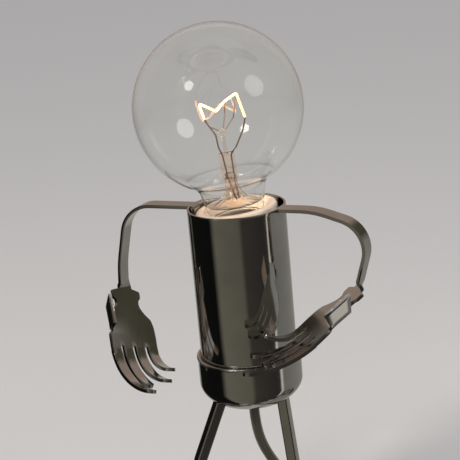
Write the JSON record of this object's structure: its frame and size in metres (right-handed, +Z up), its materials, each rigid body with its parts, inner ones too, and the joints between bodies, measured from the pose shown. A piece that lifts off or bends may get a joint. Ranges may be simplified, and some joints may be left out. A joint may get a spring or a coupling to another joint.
{
  "type": "desk lamp",
  "caption": "Table lamp shaped as a small walking figure: polished tube body, cup base, bent sheet arms with hands, bar legs and a globe bulb in a porcelain holder.",
  "frame": {"origin": "on the floor, below the middle of the lamp's own box without its cord", "axes": "+Z up, +Y away from the viewer that the palms and toes face, +X to the viewer's right"},
  "size_m": [0.2833, 0.1363, 0.3339],
  "materials": {
    "polished_steel": "mirror-polished stainless steel",
    "zinc_plate": "bright zinc-plated steel",
    "porcelain": "warm cream glazed porcelain",
    "shell_brass": "plain pressed brass",
    "cap_metal": "bright pressed aluminium",
    "black_glass": "black cap glass",
    "clear_glass": "clear thin glass",
    "wire_metal": "bare support and lead wire",
    "filament_wire": "glowing carbon filament",
    "cord_sleeve": "translucent olive-grey flexible sleeve",
    "core_sleeve": "soft insulating sleeve",
    "black_plastic": "moulded black plastic with a fine grain",
    "rocker_plastic": "smooth black moulded plastic",
    "pin_brass": "nickel-plated brass"
  },
  "bodies": {
    "lamp": {"base_cup": "polished_steel", "body_tube": "polished_steel", "centre_contact": "shell_brass", "cord_bush": "black_plastic", "cord_coil": "cord_sleeve", "cord_to_coil": "cord_sleeve", "cord_to_plug": "cord_sleeve", "cord_to_switch": "cord_sleeve", "holder_body": "porcelain", "holder_bracket": "zinc_plate", "holder_screws": "zinc_plate", "holder_spacers": "zinc_plate", "inner_cores": "core_sleeve", "left_arm": "polished_steel", "left_leg": "polished_steel", "left_sole": "polished_steel", "leg_screws": "zinc_plate", "leg_washers": "zinc_plate", "plug_body": "black_plastic", "plug_pins": "pin_brass", "right_arm": "polished_steel", "right_leg": "polished_steel", "right_sole": "polished_steel", "rod_nuts": "zinc_plate", "rod_washers": "zinc_plate", "screw_shell": "shell_brass", "sole_screws": "zinc_plate", "switch_base": "black_plastic", "switch_cover": "black_plastic", "switch_screws": "zinc_plate", "terminal_screws": "zinc_plate", "tie_rod": "zinc_plate"},
    "bulb": {"bulb_glass": "clear_glass", "bulb_cap": "cap_metal", "cap_insulator": "black_glass", "cap_contact": "cap_metal", "bulb_stem": "clear_glass", "lead_wires": "wire_metal", "support_wires": "wire_metal", "filament": "filament_wire"},
    "rocker": {"switch_rocker": "rocker_plastic"}
  },
  "joints": [
    {"name": "bulb_out", "type": "slide", "parent": "lamp", "child": "bulb", "axis": [-0.0872, 0, 0.9962], "range_m": [0, 0.045]},
    {"name": "rocker_tilt", "type": "hinge", "parent": "lamp", "child": "rocker", "pos_m": [0.133, 0.06133, 0.0132], "axis": [0, 1, 0], "range_deg": [0, 14]}
  ]
}
